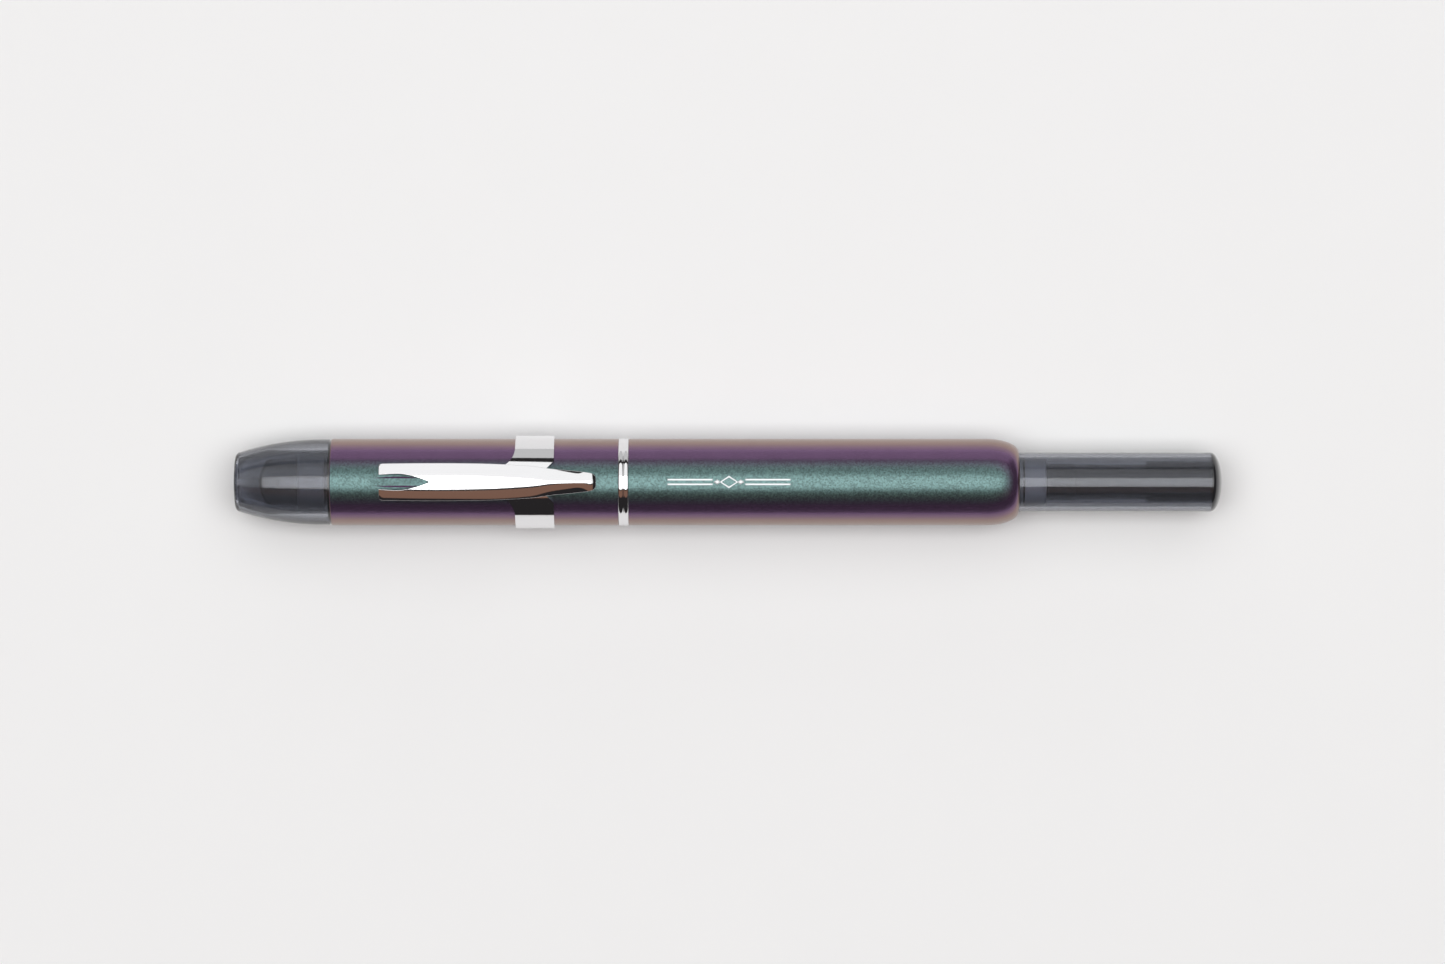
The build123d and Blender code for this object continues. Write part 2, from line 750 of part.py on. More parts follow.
# ================================================================ rear barrel
with BuildPart() as centre_band:
    with BuildSketch(Plane.XZ):
        with BuildLine():
            Polyline(
                (rear_front - 0.01, barrel_radius - 0.02),
                (rear_front - 0.01, tenon_radius + sliding_gap),
                (band_front + 0.01, tenon_radius + sliding_gap),
                (band_front + 0.01, barrel_radius - 0.02),
            )
            ThreePointArc(
                (band_front + 0.01, barrel_radius - 0.02),
                ((band_front + rear_front) / 2, band_radius),
                (rear_front - 0.01, barrel_radius - 0.02),
            )
        make_face()
    revolve(axis=Axis.X)
finish(centre_band, "centre_band")

dome_start = rear_end - barrel_dome_length
with BuildPart() as rear_barrel:
    with BuildSketch(Plane.XZ):
        with BuildLine():
            Polyline(
                (rear_front, barrel_bore),
                (rear_end - barrel_end_wall, barrel_bore),
                (rear_end - barrel_end_wall, barrel_mouth_radius),
                (rear_end, barrel_mouth_radius),
            )
            EllipticalCenterArc(
                (dome_start, barrel_mouth_radius),
                barrel_dome_length,
                barrel_radius - barrel_mouth_radius,
                arc_size=90,
            )
            Polyline((dome_start, barrel_radius), (rear_front, barrel_radius), (rear_front, barrel_bore))
        make_face()
    revolve(axis=Axis.X)
finish(rear_barrel, "rear_barrel")

groove_count = 4
crown_pitch = 2 * pi * plunger_radius / (2 * groove_count)
crown_mouth = 0.64 * crown_pitch
crown_side_angle = 62


def crown_planes(phase, facing=-1):
    """Planes through the axis, one for each tooth, with local y along the pen away from the mating face."""
    angles = [(index + phase) * pi / groove_count for index in range(2 * groove_count)]
    start = rotor_rear if facing < 0 else rotor_rear - crown_depth + crown_gap
    return [
        Plane(
            origin=(start, 0, 0),
            x_dir=(0, -facing * sin(a), facing * cos(a)),
            z_dir=(0, cos(a), sin(a)),
        )
        for a in angles
    ]


with BuildPart() as cam_sleeve:
    tube(cam_front, cam_rear, cam_radius, groove_radius)
    rib_angle = 50.0
    for index in range(groove_count):
        with BuildSketch(Plane.XZ, mode=Mode.PRIVATE) as rib_profile:
            with BuildLine():
                Polyline(
                    (rib_front, groove_radius + 0.1),
                    (rib_front + 0.6, rib_radius),
                    (cam_rear - 0.4, rib_radius),
                    (cam_rear - 0.4, groove_radius + 0.1),
                    close=True,
                )
            make_face()
        spoke = rib_profile.sketch.rotate(Axis.X, 360 / groove_count * index - rib_angle / 2)
        revolve(spoke, axis=Axis.X, revolution_arc=rib_angle)
finish(cam_sleeve, "cam_sleeve")

with BuildPart() as cam_rotor:
    tube(rotor_front, rotor_rear, plunger_radius, plunger_bore)
    spline_angle = 24.0
    for index in range(groove_count):
        with BuildSketch(Plane.XZ, mode=Mode.PRIVATE) as spline_profile:
            with BuildLine():
                Polyline(
                    (spline_front, plunger_radius - 0.1),
                    (spline_rear, plunger_radius - 0.1),
                    (spline_rear, spline_radius),
                    (spline_front + 0.5, spline_radius),
                    close=True,
                )
            make_face()
        spoke = spline_profile.sketch.rotate(Axis.X, 360 / groove_count * (index + 0.5) - spline_angle / 2)
        revolve(spoke, axis=Axis.X, revolution_arc=spline_angle)
    with BuildSketch(*crown_planes(0.5)):
        Trapezoid(crown_mouth, crown_depth, crown_side_angle, align=(Align.CENTER, Align.MIN))
    extrude(amount=plunger_radius + 1, mode=Mode.SUBTRACT)
finish(cam_rotor, "cam_rotor")

with BuildPart() as plunger:
    turn(
        [
            (rotor_rear - crown_depth + crown_gap, plunger_bore),
            (plunger_rear - plunger_floor, plunger_bore),
            (plunger_rear - plunger_floor, 0),
            (plunger_rear, 0),
            (plunger_rear, plunger_radius),
            (rotor_rear - crown_depth + crown_gap, plunger_radius),
        ]
    )
    with BuildSketch(*crown_planes(0, facing=1)):
        Trapezoid(crown_mouth, crown_depth, crown_side_angle, align=(Align.CENTER, Align.MIN))
    extrude(amount=plunger_radius + 1, mode=Mode.SUBTRACT)
finish(plunger, "plunger")

with BuildPart() as push_sleeve:
    tube(flange_rear + 0.02, sleeve_rear, plunger_radius, plunger_bore)
finish(push_sleeve, "push_sleeve")

# ================================================================ return spring
spring_wire = 0.22  # wire radius
spring_radius = flange_radius - spring_wire - 0.08
spring_turns = 12
spring_start = frame_rear + spring_wire + 0.03
spring_end = flange_front - spring_wire - 0.03
with BuildPart() as return_spring:
    with BuildLine() as spring_path:
        Helix(
            pitch=(spring_end - spring_start) / spring_turns,
            height=spring_end - spring_start,
            radius=spring_radius,
            center=(spring_start, 0, 0),
            direction=(1, 0, 0),
        )
    with BuildSketch(Plane(origin=spring_path.line @ 0, z_dir=spring_path.line % 0)) as wire_section:
        Circle(spring_wire)
    sweep(wire_section.sketch, path=spring_path.line, is_frenet=True)
finish(return_spring, "return_spring")

# ================================================================ button
core_radius = knob_bore - 1.1
core_neck_radius = core_radius + 0.1
collar_radius = knob_bore - 0.2
collar_end = rear_end + 4.2
core_end = knob_end - 1.15
cap_seat = knob_end - knob_dome
leg_length = 10.0
leg_radius = core_radius + 0.52

with BuildPart() as knob_sleeve:
    turn(
        [
            (knob_front, knob_bore),
            (cap_seat, knob_bore),
            (cap_seat, knob_radius),
            (knob_flange_rear, knob_radius),
            (knob_flange_rear, knob_flange_radius),
            (knob_front, knob_flange_radius),
        ]
    )
finish(knob_sleeve, "knob_sleeve")

with BuildPart() as knob_collar:
    tube(knob_front + 0.1, collar_end, collar_radius, core_neck_radius + seat_gap)
    chamfer(knob_collar.faces().sort_by(Axis.X)[-1].edges().sort_by(SortBy.RADIUS)[-1], 0.3)
finish(knob_collar, "knob_collar")

with BuildPart() as knob_core:
    turn(
        [
            (knob_front + 0.1, 0),
            (core_end, 0),
            (core_end, core_radius - 0.25),
            (core_end - 0.25, core_radius),
            (collar_end + 4.6, core_radius),
            (collar_end + 4.4, core_neck_radius),
            (knob_front + 0.1, core_neck_radius),
        ]
    )
finish(knob_core, "knob_core")

with BuildPart() as knob_washer:
    rod(core_end + 0.02, core_end + 0.2, core_radius - 0.3)
finish(knob_washer, "knob_washer")

with BuildPart() as knob_cap:
    with BuildSketch(Plane.XZ):
        with BuildLine():
            Polyline((knob_end, 0), (core_end + 0.22, 0), (core_end + 0.22, knob_bore - 0.9))
            Polyline(
                (core_end + 0.22, knob_bore - 0.9),
                (cap_seat + 0.02, knob_bore - 0.9),
                (cap_seat + 0.02, knob_radius),
            )
            EllipticalCenterArc((cap_seat + 0.02, 0), knob_dome - 0.02, knob_radius, arc_size=90)
        make_face()
    revolve(axis=Axis.X)
    tube(cap_seat - leg_length, cap_seat + 0.1, leg_radius, core_radius + 0.08)
    # The plug is slit above and below, which leaves two springy legs beside the core.
    for up in (-1, 1):
        slit = radians(36)
        reach = 2 * knob_radius
        with BuildSketch(Plane.YZ.offset(cap_seat - leg_length - 1)):
            with BuildLine():
                Polyline((0, 0), (reach * sin(slit), up * reach * cos(slit)), (-reach * sin(slit), up * reach * cos(slit)), close=True)
            make_face()
        extrude(amount=leg_length + 0.8, mode=Mode.SUBTRACT)
finish(knob_cap, "knob_cap")

print("stations from the nose tip:", {k: round(v - nose_tip, 2) for k, v in {
    "nib_tip": nib_tip, "housing_front": housing_front, "chamber_rear": chamber_rear,
    "flange_front": flange_front, "cam_front": cam_front, "rib_front": rib_front, "cam_rear": cam_rear,
    "rotor_front": rotor_front, "rotor_rear": rotor_rear, "plunger_rear": plunger_rear,
    "converter_rear": converter_rear, "knob_end": knob_end}.items()})
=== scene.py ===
"""Dresses a retractable fountain pen: its clip, return spring, print, rings, finishes, floor, lights and camera.

The pen lies along X with its nib towards -X and its clip on +Z. All lengths are in metres.
"""

import json
from math import cos, pi, radians, sin, sqrt

import bmesh
import bpy
from mathutils import Matrix, Vector


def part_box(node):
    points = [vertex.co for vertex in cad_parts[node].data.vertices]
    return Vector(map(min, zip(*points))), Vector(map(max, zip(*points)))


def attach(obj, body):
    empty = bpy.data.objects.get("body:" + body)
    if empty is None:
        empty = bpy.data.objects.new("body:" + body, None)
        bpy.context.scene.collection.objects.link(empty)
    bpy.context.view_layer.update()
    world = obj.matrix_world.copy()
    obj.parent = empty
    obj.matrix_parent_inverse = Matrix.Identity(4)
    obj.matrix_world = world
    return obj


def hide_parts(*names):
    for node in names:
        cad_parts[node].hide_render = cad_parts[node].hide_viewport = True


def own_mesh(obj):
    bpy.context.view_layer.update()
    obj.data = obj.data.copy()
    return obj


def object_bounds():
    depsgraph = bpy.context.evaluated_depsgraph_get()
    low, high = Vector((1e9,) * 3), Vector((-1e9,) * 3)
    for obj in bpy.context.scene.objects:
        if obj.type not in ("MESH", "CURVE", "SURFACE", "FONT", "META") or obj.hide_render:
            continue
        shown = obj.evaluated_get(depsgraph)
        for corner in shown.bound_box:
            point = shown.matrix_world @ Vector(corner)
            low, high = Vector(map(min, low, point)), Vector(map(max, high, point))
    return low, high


bl_info = {
    "name": "Retractable Pen Dressing",
    "version": (1, 0, 0),
    "blender": (4, 5, 0),
    "location": "3D View > Sidebar > Pen",
    "description": "Models and finishes a retractable fountain pen around its frame",
    "category": "Object",
}

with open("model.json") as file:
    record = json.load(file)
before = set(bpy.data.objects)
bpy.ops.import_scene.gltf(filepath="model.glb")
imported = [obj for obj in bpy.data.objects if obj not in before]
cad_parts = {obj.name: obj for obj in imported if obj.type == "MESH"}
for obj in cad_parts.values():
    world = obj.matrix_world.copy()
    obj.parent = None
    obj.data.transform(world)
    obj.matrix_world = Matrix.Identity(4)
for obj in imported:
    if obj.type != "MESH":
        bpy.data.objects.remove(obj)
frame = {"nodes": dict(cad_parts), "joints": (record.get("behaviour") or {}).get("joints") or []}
CAD_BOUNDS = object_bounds()
MM = 0.001


# ---------------------------------------------------------------- shader expressions
class Wire:
    """A shader socket that can be used in Python arithmetic."""

    def __init__(self, tree, socket):
        self.tree = tree
        self.socket = socket

    def _maths(self, operation, *values):
        node = self.tree.nodes.new("ShaderNodeMath")
        node.operation = operation
        for slot, value in zip(node.inputs, values):
            if isinstance(value, Wire):
                self.tree.links.new(value.socket, slot)
            else:
                slot.default_value = value
        return Wire(self.tree, node.outputs[0])

    def __add__(self, other):
        return self._maths("ADD", self, other)

    def __radd__(self, other):
        return self._maths("ADD", other, self)

    def __sub__(self, other):
        return self._maths("SUBTRACT", self, other)

    def __rsub__(self, other):
        return self._maths("SUBTRACT", other, self)

    def __mul__(self, other):
        return self._maths("MULTIPLY", self, other)

    def __rmul__(self, other):
        return self._maths("MULTIPLY", other, self)

    def __truediv__(self, other):
        return self._maths("DIVIDE", self, other)

    def __rtruediv__(self, other):
        return self._maths("DIVIDE", other, self)

    def __pow__(self, other):
        return self._maths("POWER", self, other)

    def __gt__(self, other):
        return self._maths("GREATER_THAN", self, other)

    def __lt__(self, other):
        return self._maths("LESS_THAN", self, other)

    def sine(self):
        return self._maths("SINE", self)

    def size(self):
        return self._maths("ABSOLUTE", self)

    def clamped(self):
        node = self.tree.nodes.new("ShaderNodeClamp")
        self.tree.links.new(self.socket, node.inputs[0])
        return Wire(self.tree, node.outputs[0])


class Finish:
    """A material under construction, with one method that adds any node."""

    def __init__(self, name):
        self.material = bpy.data.materials.new(name)
        self.material.use_nodes = True
        self.tree = self.material.node_tree
        self.tree.nodes.clear()

    def node(self, kind, settings=None, inputs=None, output=0):
        """Adds a node: settings first, then values or links of its sockets. Returns one output as a Wire."""
        made = self.tree.nodes.new(kind)
        for key, value in (settings or {}).items():
            setattr(made, key, value)
        for key, value in (inputs or {}).items():
            socket = made.inputs[key]
            if isinstance(value, Wire):
                self.tree.links.new(value.socket, socket)
            else:
                socket.default_value = value
        return Wire(self.tree, made.outputs[output])

    def place(self, scale=(1.0, 1.0, 1.0), turn=(0.0, 0.0, 0.0)):
        """Object coordinates, scaled and turned by a Mapping node."""
        coordinates = self.node("ShaderNodeTexCoord", output="Object")
        return self.node(
            "ShaderNodeMapping", inputs={"Vector": coordinates, "Scale": scale, "Rotation": turn}
        )

    def axes(self):
        """The x, y and z of Object coordinates as three Wires."""
        split = self.tree.nodes.new("ShaderNodeSeparateXYZ")
        self.tree.links.new(self.place().socket, split.inputs[0])
        return [Wire(self.tree, output) for output in split.outputs]

    def noise(self, scale, detail=3.0, roughness=0.5, vector=None):
        return self.node(
            "ShaderNodeTexNoise",
            inputs={
                "Vector": vector or self.place(),
                "Scale": scale,
                "Detail": detail,
                "Roughness": roughness,
            },
        )

    def mix(self, factor, first, second):
        """A colour mix of two colours."""
        made = self.tree.nodes.new("ShaderNodeMix")
        made.data_type = "RGBA"
        for key, value in ((0, factor), (6, first), (7, second)):
            socket = made.inputs[key]
            if isinstance(value, Wire):
                self.tree.links.new(value.socket, socket)
            else:
                socket.default_value = (*value, 1.0) if key > 0 else value
        return Wire(self.tree, made.outputs[2])

    def bump(self, height, distance, strength=1.0, normal=None):
        inputs = {"Height": height, "Distance": distance, "Strength": strength}
        if normal is not None:
            inputs["Normal"] = normal
        return self.node("ShaderNodeBump", inputs=inputs)

    def surface(self, **sockets):
        """A Principled shader with the sockets given by name, spaces as underscores."""
        return self.node(
            "ShaderNodeBsdfPrincipled",
            inputs={key.replace("_", " "): value for key, value in sockets.items()},
        )

    def done(self, shader):
        out = self.tree.nodes.new("ShaderNodeOutputMaterial")
        self.tree.links.new(shader.socket, out.inputs["Surface"])
        return self.material


# ---------------------------------------------------------------- finishes
def barrel_paint(settings):
    """Colour-shifting metallic paint under clear lacquer: green face on, violet and bronze at a slant."""
    f = Finish("barrel_paint")
    flake = f.node(
        "ShaderNodeTexVoronoi",
        {"feature": "F1"},
        {"Vector": f.place(), "Scale": 5200.0, "Randomness": 1.0},
        output="Color",
    )
    grains = f.node("ShaderNodeSeparateColor", inputs={"Color": flake})
    cloud = f.noise(260.0, 2.0)
    teal = settings.paint_face
    violet = settings.paint_flank
    tint = f.mix((grains * 0.6).clamped(), tuple(c * 0.65 for c in teal), tuple(c * 2.0 for c in teal))
    flank = f.mix((cloud * 0.7).clamped(), tuple(violet), tuple(c * 1.3 for c in violet))
    sparkle = f.bump(grains, 0.00003, 0.25)
    x, y, z = f.axes()
    radius = (y * y + z * z) ** 0.5
    # The tenon and the bore around it are bare brass, cut with a fine thread.
    brass = (0.55, 0.42, 0.22)
    bare = ((x > -0.0016) * (radius < 0.00563) * (x < 0.0085)).clamped()
    thread_pitch = 0.6 * MM
    thread = f.bump((x * (2 * pi / thread_pitch)).sine() * bare, 0.00008, 0.8, sparkle)
    facing = f.node("ShaderNodeLayerWeight", inputs={"Blend": 0.5}, output="Facing")
    flank_in, rim_in = (
        f.node(
            "ShaderNodeMapRange",
            {"interpolation_type": "SMOOTHSTEP"},
            {"Value": facing, "From Min": start, "From Max": end},
        )
        for start, end in ((0.03, 0.19), (0.28, 0.6))
    )
    lacquer = {"Coat_Weight": 0.25, "Coat_Roughness": 0.28, "Coat_IOR": 1.45}
    face = f.surface(
        Base_Color=f.mix(bare, tint, brass), Metallic=0.82, Roughness=0.3, Normal=thread, **lacquer
    )
    side = f.surface(
        Base_Color=f.mix(bare, flank, brass), Metallic=0.85, Roughness=0.25, Normal=thread, **lacquer
    )
    bronze = f.surface(
        Base_Color=f.mix(bare, tuple(settings.paint_rim), brass),
        Metallic=0.8,
        Roughness=0.3,
        Normal=thread,
        **lacquer,
    )
    blend = f.node("ShaderNodeMixShader", inputs={0: flank_in, 1: face, 2: side})
    return f.done(f.node("ShaderNodeMixShader", inputs={0: rim_in, 1: blend, 2: bronze}))


def polished_metal(name, colour, roughness, smear_scale=180.0):
    """Plated or polished metal with faint wiping marks along the pen."""
    f = Finish(name)
    wipes = f.noise(smear_scale, 4.0, 0.6, f.place((1.0, 5.0, 5.0)))
    fine = f.noise(2400.0, 2.0)
    rough = (wipes * 0.06 + (roughness - 0.03)).clamped()
    return f.done(
        f.surface(
            Base_Color=f.mix(wipes, tuple(c * 0.96 for c in colour), colour),
            Metallic=1.0,
            Roughness=rough,
            Normal=f.bump(fine, 0.000004, 0.15),
        )
    )


def smoke_plastic(name, tint, slanted):
    """Tinted transparent plastic, polished, with faint moulding haze."""
    f = Finish(name)
    haze = f.noise(420.0, 3.0)
    rough = (haze * 0.05 + 0.02).clamped()
    thin, thick = (
        f.surface(
            Base_Color=f.mix(haze, tuple(c * share * 0.94 for c in tint), tuple(c * share for c in tint)),
            Roughness=rough,
            Transmission_Weight=0.96,
            IOR=1.45,
            Normal=f.bump(haze, 0.000006, 0.08),
        )
        for share in (1.0, slanted)
    )
    # A slanting look passes through more of the wall, so it comes out darker.
    facing = f.node("ShaderNodeLayerWeight", inputs={"Blend": 0.5}, output="Facing")
    slant = f.node(
        "ShaderNodeMapRange",
        {"interpolation_type": "SMOOTHSTEP"},
        {"Value": facing, "From Min": 0.15, "From Max": 0.6},
    )
    return f.done(f.node("ShaderNodeMixShader", inputs={0: slant, 1: thin, 2: thick}))


def clear_plastic():
    f = Finish("clear_plastic")
    haze = f.noise(300.0, 3.0)
    return f.done(
        f.surface(
            Base_Color=f.mix(haze, (0.86, 0.89, 0.9), (0.93, 0.95, 0.96)),
            Roughness=(haze * 0.06 + 0.03).clamped(),
            Transmission_Weight=0.95,
            IOR=1.45,
        )
    )


def moulded_plastic(name, colour, roughness, grain=0.5, coat=0.0):
    """Opaque moulded plastic with a fine spark-eroded grain and slight unevenness of tone."""
    f = Finish(name)
    cloud = f.noise(160.0, 3.0)
    fine = f.noise(3800.0, 3.0, 0.6)
    return f.done(
        f.surface(
            Base_Color=f.mix(cloud, tuple(c * 0.85 for c in colour), colour),
            Roughness=(fine * 0.12 + (roughness - 0.06)).clamped(),
            Coat_Weight=coat,
            Coat_Roughness=0.08,
            Normal=f.bump(fine, 0.000012, grain),
        )
    )


def seal_rubber():
    f = Finish("seal_rubber")
    bloom = f.noise(900.0, 4.0, 0.6)
    return f.done(
        f.surface(
            Base_Color=f.mix(bloom, (0.012, 0.012, 0.013), (0.035, 0.034, 0.033)),
            Roughness=(bloom * 0.2 + 0.6).clamped(),
            Normal=f.bump(bloom, 0.00002, 0.4),
        )
    )


def drawn_steel():
    """Spring wire and small steel parts, with die marks along the pen."""
    f = Finish("drawn_steel")
    marks = f.noise(1500.0, 4.0, 0.6, f.place((0.2, 1.0, 1.0)))
    return f.done(
        f.surface(
            Base_Color=f.mix(marks, (0.42, 0.42, 0.43), (0.66, 0.66, 0.67)),
            Metallic=1.0,
            Roughness=(marks * 0.2 + 0.2).clamped(),
            Normal=f.bump(marks, 0.000006, 0.3),
        )
    )


def nib_metal(settings):
    """Polished nib with two engraved lines that follow its edges, and a brushed field between them."""
    f = Finish("nib_metal")
    x, y = f.axes()[:2]
    low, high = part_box("nib")
    run = (x - low.x) / (high.x - low.x)
    edge = y.size() / (run * 0.0042 + 0.0004)
    line = ((edge > 0.62) * (edge < 0.7)).clamped()
    brush = f.noise(1200.0, 4.0, 0.6, f.place((0.1, 1.0, 1.0)))
    return f.done(
        f.surface(
            Base_Color=f.mix(line, tuple(settings.nib_colour), tuple(c * 0.45 for c in settings.nib_colour)),
            Metallic=1.0,
            Roughness=(brush * 0.12 + 0.1).clamped(),
            Normal=f.bump(1.0 - line, 0.00004, 0.6),
        )
    )


def feed_plastic():
    f = Finish("feed_plastic")
    fine = f.noise(2600.0, 3.0)
    return f.done(
        f.surface(
            Base_Color=f.mix(fine, (0.01, 0.01, 0.011), (0.03, 0.03, 0.032)),
            Roughness=(fine * 0.15 + 0.3).clamped(),
            Normal=f.bump(fine, 0.00001, 0.3),
        )
    )


def print_ink(settings):
    """Silver pad-printed ink, speckled in tone and gloss."""
    f = Finish("print_ink")
    speck = f.noise(2800.0, 3.0, 0.6)
    return f.done(
        f.surface(
            Base_Color=f.mix(speck, tuple(c * 0.82 for c in settings.ink_colour), tuple(settings.ink_colour)),
            Metallic=0.35,
            Roughness=(speck * 0.2 + 0.35).clamped(),
        )
    )


def pale_floor(settings):
    f = Finish("pale_floor")
    paper = f.noise(60.0, 4.0, 0.55)
    return f.done(
        f.surface(
            Base_Color=f.mix(paper, tuple(c * 0.985 for c in settings.floor_colour), tuple(settings.floor_colour)),
            Roughness=0.85,
            Normal=f.bump(f.noise(1400.0, 3.0), 0.00002, 0.15),
        )
    )


# ---------------------------------------------------------------- modelling helpers
def finish_piece(bm, name, body, material, smooth=True, modifiers=()):
    """Turns a bmesh into a piece at the origin that rides on a body."""
    mesh = bpy.data.meshes.new(name)
    bm.to_mesh(mesh)
    bm.free()
    for polygon in mesh.polygons:
        polygon.use_smooth = smooth
    piece = bpy.data.objects.new(name, mesh)
    bpy.context.scene.collection.objects.link(piece)
    piece.data.materials.append(material)
    for kind, settings in modifiers:
        modifier = piece.modifiers.new(kind.title(), kind)
        for key, value in settings.items():
            setattr(modifier, key, value)
    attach(piece, body)
    return piece


def spun(outline, steps=96):
    """A closed ring from (x, radius) points, spun once about the pen's axis."""
    bm = bmesh.new()
    ring = [bm.verts.new((x, 0.0, r)) for x, r in outline]
    edges = [bm.edges.new((a, b)) for a, b in zip(ring, ring[1:] + ring[:1])]
    bmesh.ops.spin(
        bm,
        geom=ring + edges,
        cent=(0, 0, 0),
        axis=(1, 0, 0),
        angle=2 * pi,
        steps=steps,
        use_merge=True,
    )
    bmesh.ops.remove_doubles(bm, verts=bm.verts, dist=1e-7)
    bmesh.ops.recalc_face_normals(bm, faces=bm.faces)
    return bm


def eased(t):
    t = max(0.0, min(1.0, t))
    return t * t * (3 - 2 * t)


def curve_through(points, x):
    """Height at x on a smooth line through (x, height) points, flat-ended between neighbours."""
    if x <= points[0][0]:
        return points[0][1]
    for index in range(len(points) - 1):
        (xa, ha), (xb, hb) = points[index], points[index + 1]
        if x <= xb:
            before = points[index - 1] if index else points[index]
            after = points[index + 2] if index + 2 < len(points) else points[index + 1]
            ma = (hb - before[1]) / (xb - before[0]) * (xb - xa)
            mb = (after[1] - ha) / (after[0] - xa) * (xb - xa)
            t = (x - xa) / (xb - xa)
            return (
                (2 * t**3 - 3 * t**2 + 1) * ha
                + (t**3 - 2 * t**2 + t) * ma
                + (-2 * t**3 + 3 * t**2) * hb
                + (t**3 - t**2) * mb
            )
    return points[-1][1]


# ---------------------------------------------------------------- settings
class PenFinishSettings(bpy.types.PropertyGroup):
    paint_face: bpy.props.FloatVectorProperty(
        name="Paint, facing",
        description="Paint colour seen straight on",
        subtype="COLOR",
        default=(0.065, 0.115, 0.112),
    )
    paint_flank: bpy.props.FloatVectorProperty(
        name="Paint, flank",
        description="Paint colour seen at a slant",
        subtype="COLOR",
        default=(0.17, 0.095, 0.19),
    )
    paint_rim: bpy.props.FloatVectorProperty(
        name="Paint, rim", description="Paint colour at the outline", subtype="COLOR", default=(0.3, 0.2, 0.17)
    )
    smoke_tint: bpy.props.FloatVectorProperty(
        name="Smoke tint",
        description="Tint of the clear nose and button",
        subtype="COLOR",
        default=(0.5, 0.52, 0.58),
    )
    nib_colour: bpy.props.FloatVectorProperty(
        name="Nib colour", description="Metal of the nib", subtype="COLOR", default=(0.78, 0.76, 0.72)
    )
    ink_colour: bpy.props.FloatVectorProperty(
        name="Print colour", description="Ink of the barrel's ornament", subtype="COLOR", default=(0.78, 0.8, 0.82)
    )
    floor_colour: bpy.props.FloatVectorProperty(
        name="Floor colour", description="Colour of the floor", subtype="COLOR", default=(0.86, 0.86, 0.86)
    )


class PenClipSettings(bpy.types.PropertyGroup):
    crown: bpy.props.FloatProperty(
        name="Crown",
        description="Fall of the blade's top from its middle to its edge",
        unit="LENGTH",
        default=0.62 * MM,
    )
    ridge: bpy.props.FloatProperty(
        name="Ridge", description="How sharp the blade's middle line grows towards its tail", default=0.5
    )
    slot_half_width: bpy.props.FloatProperty(
        name="Slot half-width", description="Half of the fork's opening", unit="LENGTH", default=1.25 * MM
    )
    edge: bpy.props.FloatProperty(
        name="Edge radius", description="Rounding of the blade's edges", unit="LENGTH", default=0.16 * MM
    )


class PenPrintSettings(bpy.types.PropertyGroup):
    start: bpy.props.FloatProperty(
        name="Start", description="Front of the ornament, behind the centre band", unit="LENGTH", default=6.0 * MM
    )
    length: bpy.props.FloatProperty(
        name="Length", description="Length of the ornament", unit="LENGTH", default=19.0 * MM
    )
    line: bpy.props.FloatProperty(
        name="Line width", description="Width of the ornament's lines", unit="LENGTH", default=0.26 * MM
    )
    height: bpy.props.FloatProperty(
        name="Height", description="Height of the ornament's middle figure", unit="LENGTH", default=2.0 * MM
    )


class PenStageSettings(bpy.types.PropertyGroup):
    distance: bpy.props.FloatProperty(
        name="Camera distance", description="From the pen's axis to the camera", unit="LENGTH", default=0.87
    )
    view_width: bpy.props.FloatProperty(
        name="View width", description="Width of the view at the pen's axis", unit="LENGTH", default=0.2242
    )
    view_middle: bpy.props.FloatProperty(
        name="View middle", description="Where along the pen the camera looks", unit="LENGTH", default=14.5 * MM
    )


FINISHES = {}


